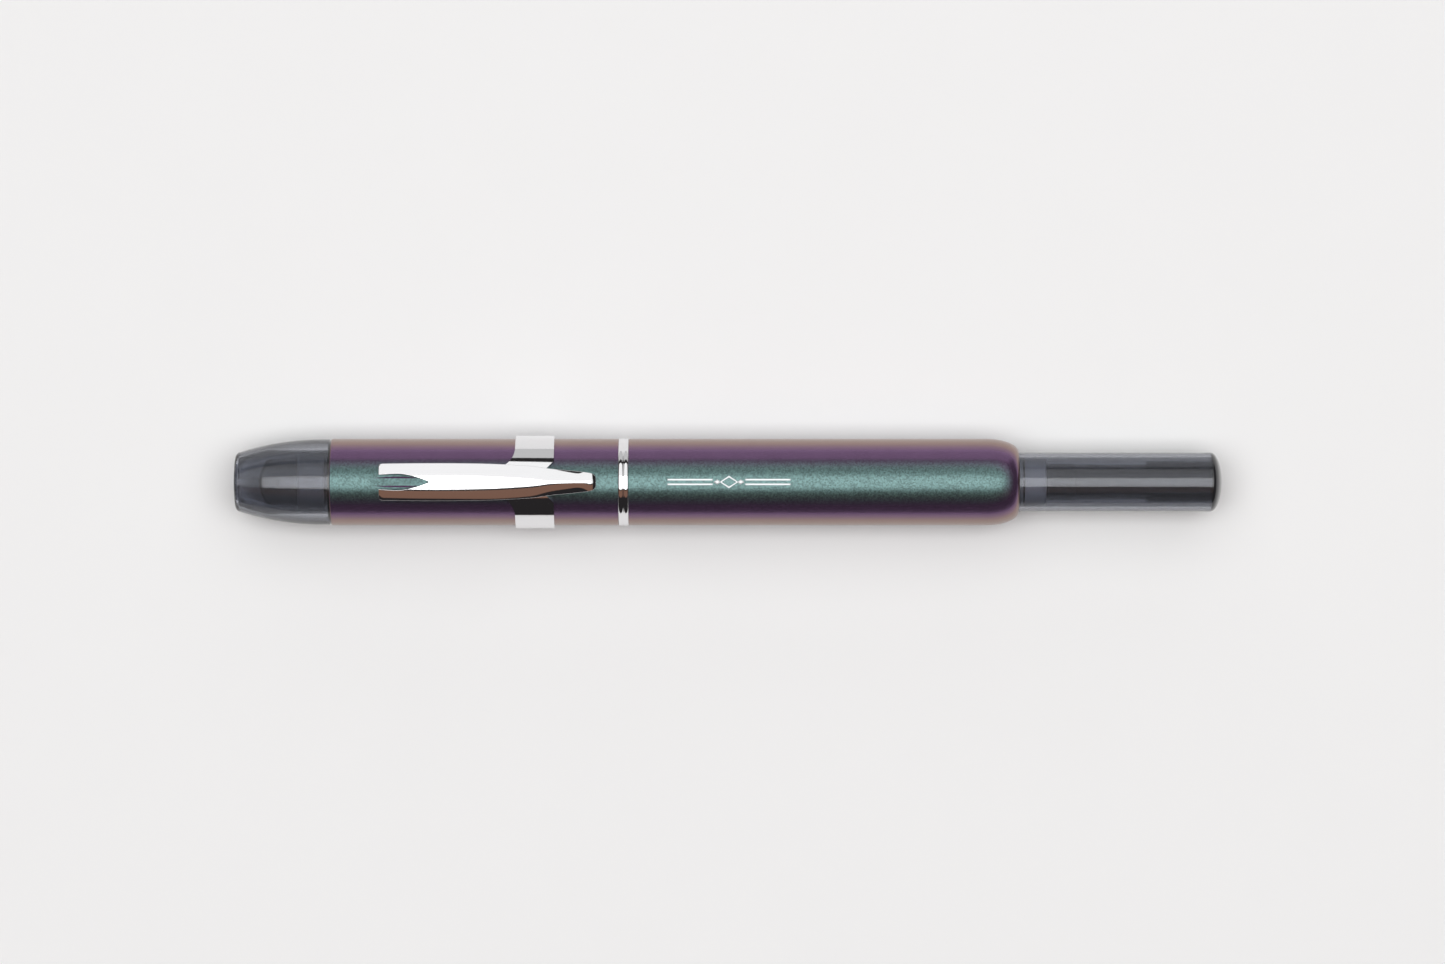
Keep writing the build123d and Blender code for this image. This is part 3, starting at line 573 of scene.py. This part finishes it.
class PEN_OT_finishes(bpy.types.Operator):
    """Give every frame node its finish"""

    bl_idname = "pen.finishes"
    bl_label = "Finishes"

    def execute(self, context):
        look = context.scene.pen_finish
        FINISHES.update(
            paint=barrel_paint(look),
            chrome=polished_metal("clip_chrome", (0.86, 0.86, 0.87), 0.06),
            brass=polished_metal("sleeve_brass", (0.78, 0.6, 0.3), 0.25, 400.0),
            smoke=smoke_plastic("smoke_plastic", tuple(look.smoke_tint), 0.4),
            nose_smoke=smoke_plastic("nose_smoke", tuple(look.smoke_tint), 0.13),
            frame=smoke_plastic("frame_smoke", tuple(c**0.3 for c in look.smoke_tint), 0.8),
            core=moulded_plastic("core_black", (0.028, 0.028, 0.033), 0.22, 0.2, 0.6),
            clear=clear_plastic(),
            black=moulded_plastic("button_black", (0.016, 0.016, 0.018), 0.2, 0.2, 0.6),
            housing=moulded_plastic("housing_black", (0.02, 0.02, 0.022), 0.35, 0.4),
            dark=moulded_plastic("chamber_polymer", (0.11, 0.115, 0.13), 0.3),
            grey=moulded_plastic("collar_grey", (0.55, 0.56, 0.6), 0.4),
            white=moulded_plastic("nylon_white", (0.72, 0.72, 0.7), 0.45),
            rubber=seal_rubber(),
            steel=drawn_steel(),
            nib=nib_metal(look),
            feed=feed_plastic(),
            ink=print_ink(look),
        )
        wear = {
            "paint": ("front_barrel", "rear_barrel"),
            "chrome": ("clip_saddle", "clip_blade", "centre_band", "converter_collar"),
            "brass": ("push_sleeve",),
            "smoke": ("knob_sleeve",),
            "nose_smoke": ("nose_cone",),
            "frame": ("shutter_frame",),
            "core": ("knob_core",),
            "clear": ("converter_tube",),
            "black": ("knob_cap", "converter_knob", "nose_joint_ring"),
            "housing": ("nib_housing", "plunger"),
            "dark": ("nib_chamber", "converter_piston"),
            "grey": ("chamber_collar", "knob_collar", "cam_sleeve"),
            "white": ("cam_rotor", "knob_washer", "converter_screw"),
            "rubber": ("shutter_seal", "nib_unit_ring"),
            "steel": ("shutter_lid", "shutter_pin", "shutter_spring", "return_spring"),
            "nib": ("nib",),
            "feed": ("feed",),
        }
        for finish, nodes in wear.items():
            for node in nodes:
                data = frame["nodes"][node].data
                data.materials.clear()
                data.materials.append(FINISHES[finish])
        left = set(frame["nodes"]) - {n for nodes in wear.values() for n in nodes}
        if left:
            raise RuntimeError(f"no finish for {sorted(left)}")
        return {"FINISHED"}


class PEN_OT_clip(bpy.types.Operator):
    """Model the forked, crowned clip blade that stands just clear of its saddle"""

    bl_idname = "pen.clip"
    bl_label = "Clip"

    def execute(self, context):
        clip = context.scene.pen_clip
        low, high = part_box("clip_blade")
        saddle_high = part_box("clip_saddle")[1]
        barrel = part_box("rear_barrel")[1].z
        front, tail, width = low.x, high.x, high.y
        length = tail - front
        rear = saddle_high.x
        pad = saddle_high.z + 0.1 * MM
        top_line = [
            (front, high.z - 1.28 * MM),
            (front + 0.25 * length, high.z - 0.62 * MM),
            (front + 0.5 * length, high.z - 0.2 * MM),
            (rear - 2.5 * MM, high.z - 0.02 * MM),
            (tail - 2.4 * MM, high.z - 0.5 * MM),
            (tail - 0.7 * MM, high.z - 0.85 * MM),
            (tail, high.z - 1.15 * MM),
        ]
        under_line = [
            (front, barrel + 0.14 * MM),
            (front + 1.5 * MM, barrel + 0.14 * MM),
            (front + 2.8 * MM, barrel + 0.4 * MM),
            (front + 0.45 * length, barrel + 1.3 * MM),
            (rear - 6.0 * MM, pad),
            (rear, pad),
            (rear + 1.2 * MM, barrel + 0.72 * MM),
            (tail, barrel + 0.6 * MM),
        ]
        outer_line = [
            (front, width - 0.25 * MM),
            (front + 0.5 * MM, width - 0.02 * MM),
            (front + 0.45 * length, width),
            (rear - 3.4 * MM, 0.865 * width),
            (rear - 0.5 * MM, 0.72 * width),
            (tail - 1.6 * MM, 0.53 * width),
            (tail - 0.35 * MM, 0.42 * width),
            (tail, 0.26 * width),
        ]
        slot = clip.slot_half_width
        apex = front + 7.9 * MM
        slot_line = [
            (front, slot - 0.12 * MM),
            (front + 3.3 * MM, slot),
            (front + 5.6 * MM, 0.66 * slot),
            (front + 7.2 * MM, 0.24 * slot),
            (apex, 0.0),
        ]
        flattened = 3 * MM
        bm = bmesh.new()
        bmesh.ops.create_grid(bm, x_segments=96, y_segments=10, size=0.5)
        for vert in bm.verts:
            along, across = vert.co.x + 0.5, vert.co.y + 0.5
            x = front + length * (0.5 * along + 0.5 * eased(along))
            inner = curve_through(slot_line, x) if x < apex else 0.0
            y = inner + across * (curve_through(outer_line, x) - inner)
            edge = curve_through(outer_line, x)
            ridge = clip.ridge * eased((x - apex) / (tail - apex))
            crown = clip.crown * (1 - 0.6 * eased((x - tail) / flattened + 1))
            fall = crown * (ridge * y / edge + (1 - ridge) * (y / edge) ** 2)
            vert.co = (x, y, curve_through(top_line, x) - fall)
        for vert in bm.verts:
            vert.co.z = min(vert.co.z, high.z - 1e-6)
        least_thickness = 0.3 * MM
        grown = bmesh.ops.extrude_face_region(bm, geom=bm.faces[:])
        for vert in (v for v in grown["geom"] if isinstance(v, bmesh.types.BMVert)):
            vert.co.z = min(curve_through(under_line, vert.co.x), vert.co.z - least_thickness)
        bmesh.ops.recalc_face_normals(bm, faces=bm.faces)
        # The wall along the middle, behind the fork's apex, lies inside the finished blade.
        middle = [f for f in bm.faces if all(abs(v.co.y) < 1e-7 for v in f.verts)]
        bmesh.ops.delete(bm, geom=middle, context="FACES")
        bmesh.ops.mirror(bm, geom=bm.verts[:] + bm.edges[:] + bm.faces[:], axis="Y", merge_dist=2e-6)
        bmesh.ops.remove_doubles(bm, verts=bm.verts, dist=2e-6)
        bmesh.ops.recalc_face_normals(bm, faces=bm.faces)
        blade = finish_piece(
            bm,
            "clip_blade_crowned",
            "clip",
            FINISHES["chrome"],
            modifiers=[
                (
                    "BEVEL",
                    {
                        "width": clip.edge,
                        "segments": 3,
                        "limit_method": "ANGLE",
                        "angle_limit": radians(38),
                        "harden_normals": True,
                    },
                )
            ],
        )
        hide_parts("clip_blade")
        return {"FINISHED"}


class PEN_OT_spring(bpy.types.Operator):
    """Model the return spring as a steel coil riding on the front body"""

    bl_idname = "pen.spring"
    bl_label = "Return spring"

    def execute(self, context):
        low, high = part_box("return_spring")
        stroke = next(j for j in frame["joints"] if j["name"] == "knock_slide")["range_m"][1]
        wire = 0.22 * MM
        middle = high.z - wire
        turns = 12
        bm = bmesh.new()
        ring = bmesh.ops.create_circle(bm, segments=10, radius=wire)["verts"]
        bmesh.ops.rotate(bm, verts=ring, matrix=Matrix.Rotation(pi / 2, 3, "X"))
        bmesh.ops.translate(bm, verts=ring, vec=(low.x + wire, 0, middle))
        edges = list({edge for vert in ring for edge in vert.link_edges})
        coil_steps = turns * 36
        bmesh.ops.spin(
            bm,
            geom=ring + edges,
            cent=(0, 0, 0),
            axis=(1, 0, 0),
            dvec=((high.x - low.x - 2 * wire) / coil_steps, 0, 0),
            angle=2 * pi * turns,
            steps=coil_steps,
        )
        bmesh.ops.holes_fill(bm, edges=[e for e in bm.edges if len(e.link_faces) == 1])
        bmesh.ops.recalc_face_normals(bm, faces=bm.faces)
        coil = finish_piece(bm, "return_coil", "front", FINISHES["steel"])
        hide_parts("return_spring")
        run = high.x - low.x
        (run - stroke) / run
        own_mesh(coil)
        return {"FINISHED"}


class PEN_OT_ornament(bpy.types.Operator):
    """Print the rear barrel's ornament: two fine lines either side of a lozenge"""

    bl_idname = "pen.ornament"
    bl_label = "Print"

    def execute(self, context):
        ink = context.scene.pen_print
        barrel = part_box("rear_barrel")[1].z + 0.006 * MM
        middle = ink.start + 0.5 * ink.length
        bm = bmesh.new()

        def strip(start, end, across, thickness):
            made = bmesh.ops.create_grid(bm, x_segments=12, y_segments=2, size=0.5)["verts"]
            bmesh.ops.scale(bm, vec=(end - start, thickness, 1), verts=made)
            bmesh.ops.translate(bm, vec=((start + end) / 2, across, 0), verts=made)

        gap = 0.36 * ink.height
        for side in (-1, 1):
            inner, outer = 0.13 * ink.length, 0.5 * ink.length
            near, far = sorted((middle + side * inner, middle + side * outer))
            strip(near, far, gap / 2, ink.line)
            strip(near, far, -gap / 2, ink.line)
            ring = bmesh.ops.create_circle(bm, cap_ends=True, segments=4, radius=0.2 * ink.height)["verts"]
            bmesh.ops.scale(bm, vec=(1.5, 1, 1), verts=ring)
            bmesh.ops.translate(bm, vec=(middle + side * 0.095 * ink.length, 0, 0), verts=ring)
        lozenge = bmesh.ops.create_circle(bm, cap_ends=True, segments=4, radius=0.5 * ink.height)
        face = lozenge["verts"][0].link_faces[0]
        bmesh.ops.scale(bm, vec=(1.45, 1, 1), verts=lozenge["verts"])
        bmesh.ops.translate(bm, vec=(middle, 0, 0), verts=lozenge["verts"])
        bmesh.ops.inset_individual(bm, faces=[face], thickness=1.2 * ink.line)
        bmesh.ops.delete(bm, geom=[face], context="FACES")
        bmesh.ops.subdivide_edges(bm, edges=bm.edges[:], cuts=2, use_grid_fill=True)
        for vert in bm.verts:
            angle = vert.co.y / barrel
            vert.co.y, vert.co.z = barrel * sin(angle), barrel * cos(angle)
        bmesh.ops.recalc_face_normals(bm, faces=bm.faces)
        for face in bm.faces:
            face.normal_update()
            if face.normal.z < 0:
                face.normal_flip()
        finish_piece(
            bm,
            "barrel_ornament",
            "rear",
            FINISHES["ink"],
            modifiers=[("SOLIDIFY", {"thickness": 0.012 * MM, "offset": -1.0})],
        )
        return {"FINISHED"}


class PEN_OT_rings(bpy.types.Operator):
    """Add the twin-beaded centre band, a black ring that paints the shade of the groove inside the button sleeve,
    and the dark pins of the nose
    """

    bl_idname = "pen.rings"
    bl_label = "Rings"

    def execute(self, context):
        low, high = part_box("centre_band")
        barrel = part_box("rear_barrel")[1].z
        core = sqrt(min(v.co.y**2 + v.co.z**2 for v in frame["nodes"]["centre_band"].data.vertices))
        valley = barrel - 0.03 * MM
        outline = []
        for step in range(25):
            along = step / 24
            bead = abs(sin(2 * pi * along)) ** 0.7
            radius = valley + (high.z - valley) * bead
            outline.append((low.x + along * (high.x - low.x), radius))
        outline += [(high.x, core), (low.x, core)]
        band = finish_piece(spun(outline, 192), "centre_band_beaded", "rear", FINISHES["chrome"])
        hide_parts("centre_band")

        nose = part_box("nose_cone")[0].x + 1.45 * MM
        vertices = [v.co for v in frame["nodes"]["shutter_frame"].data.vertices]
        for side in (-1, 1):
            across = side * 2.8 * MM
            top = max(
                v.z for v in vertices if abs(v.x - nose) < 0.3 * MM and abs(v.y - across) < 0.25 * MM and v.z > 0
            )
            bm = bmesh.new()
            rim = [(0.0, -0.3), (0.2, -0.3), (0.2, -0.06), (0.14, 0.0), (0.0, 0.0)]
            ring = [bm.verts.new((nose + r * MM, across, top + z * MM)) for r, z in rim]
            edges = [bm.edges.new(pair) for pair in zip(ring, ring[1:])]
            bmesh.ops.spin(
                bm,
                geom=ring + edges,
                cent=(nose, across, 0),
                axis=(0, 0, 1),
                angle=2 * pi,
                steps=24,
                use_merge=True,
            )
            bmesh.ops.remove_doubles(bm, verts=bm.verts, dist=1e-7)
            bmesh.ops.recalc_face_normals(bm, faces=bm.faces)
            name = "nose_pin_left" if side < 0 else "nose_pin_right"
            finish_piece(bm, name, "front", FINISHES["black"])

        # Painted shade: a thin black ring inside the button sleeve, just behind the barrel's mouth, stands in for
        # the dark line of the sleeve's inner groove.
        collar_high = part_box("knob_collar")[1]
        barrel_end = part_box("rear_barrel")[1].x
        bore = collar_high.z + 0.2 * MM
        ring = spun(
            [
                (barrel_end + 0.6 * MM, bore - 0.02 * MM),
                (barrel_end + 0.82 * MM, bore - 0.02 * MM),
                (barrel_end + 0.82 * MM, bore - 0.16 * MM),
                (barrel_end + 0.6 * MM, bore - 0.16 * MM),
            ]
        )
        finish_piece(ring, "button_groove_shade_ring", "knob", FINISHES["black"], smooth=False)
        return {"FINISHED"}


class PEN_OT_stage(bpy.types.Operator):
    """Lay the floor, hang the lights and set the camera above the pen"""

    bl_idname = "pen.stage"
    bl_label = "Stage"

    def execute(self, context):
        stage = context.scene.pen_stage
        look = context.scene.pen_finish
        lowest = CAD_BOUNDS[0][2]
        bm = bmesh.new()
        bmesh.ops.create_grid(bm, x_segments=2, y_segments=2, size=3.0)
        bmesh.ops.translate(bm, verts=bm.verts, vec=(0, 0, lowest))
        mesh = bpy.data.meshes.new("floor")
        bm.to_mesh(mesh)
        bm.free()
        floor = bpy.data.objects.new("floor", mesh)
        context.scene.collection.objects.link(floor)
        mesh.materials.append(pale_floor(look))

        world = bpy.data.worlds.new("studio")
        world.use_nodes = True
        world.node_tree.nodes["Background"].inputs["Color"].default_value = (0.022, 0.02, 0.021, 1)
        world.node_tree.nodes["Background"].inputs["Strength"].default_value = 1.0
        context.scene.world = world

        def softbox(name, place, target, size, power, colour=(1, 1, 1)):
            data = bpy.data.lights.new(name, "AREA")
            data.shape = "RECTANGLE"
            data.size, data.size_y = size
            data.energy = power
            data.color = colour
            light = bpy.data.objects.new(name, data)
            light.location = place
            aim = Vector(target) - Vector(place)
            light.rotation_euler = aim.to_track_quat("-Z", "Y").to_euler()
            context.scene.collection.objects.link(light)

        softbox("overhead_box", (0.0, -0.03, 1.3), (0.0, -0.03, 0.0), (1.6, 0.82), 11.0)
        softbox("ceiling", (0.0, 0.73, 1.6), (0.0, 0.73, 0.0), (3.2, 2.6), 27.0)
        softbox("side_box", (0.0, 1.5, 0.4), (0.0, 0.0, 0.38), (2.6, 0.8), 3.7)
        softbox("warm_card", (0.0, -0.82, 1.3), (0.0, 0.0, 0.0), (3.0, 0.5), 0.9, (1.0, 0.5, 0.32))

        data = bpy.data.cameras.new("camera")
        data.sensor_width = 36
        data.lens = 36 * stage.distance / stage.view_width
        data.clip_start = 0.01
        camera = bpy.data.objects.new("camera", data)
        camera.location = (stage.view_middle, 0, stage.distance)
        context.scene.collection.objects.link(camera)
        context.scene.camera = camera
        context.scene.view_settings.view_transform = "Standard"
        return {"FINISHED"}


class PEN_PT_panel(bpy.types.Panel):
    """Steps that dress the pen, in order"""

    bl_label = "Pen"
    bl_idname = "PEN_PT_panel"
    bl_space_type = "VIEW_3D"
    bl_region_type = "UI"
    bl_category = "Pen"

    def draw(self, context):
        for name in ("pen_finish", "pen_clip", "pen_print", "pen_stage"):
            group = getattr(context.scene, name)
            box = self.layout.box()
            for key in group.__annotations__:
                box.prop(group, key)
        for operator in OPERATORS:
            self.layout.operator(operator.bl_idname)


OPERATORS = (PEN_OT_stage, PEN_OT_finishes, PEN_OT_clip, PEN_OT_spring, PEN_OT_ornament, PEN_OT_rings)
GROUPS = {
    "pen_finish": PenFinishSettings,
    "pen_clip": PenClipSettings,
    "pen_print": PenPrintSettings,
    "pen_stage": PenStageSettings,
}


def register():
    for group in GROUPS.values():
        bpy.utils.register_class(group)
    for operator in (*OPERATORS, PEN_PT_panel):
        bpy.utils.register_class(operator)
    for name, group in GROUPS.items():
        setattr(bpy.types.Scene, name, bpy.props.PointerProperty(type=group))


def unregister():
    for name in GROUPS:
        delattr(bpy.types.Scene, name)
    for item in reversed((*GROUPS.values(), *OPERATORS, PEN_PT_panel)):
        bpy.utils.unregister_class(item)


def main():
    register()
    bpy.ops.pen.stage()
    bpy.ops.pen.finishes()
    bpy.ops.pen.clip()
    bpy.ops.pen.spring()
    bpy.ops.pen.ornament()
    bpy.ops.pen.rings()


if __name__ == "__main__":
    main()
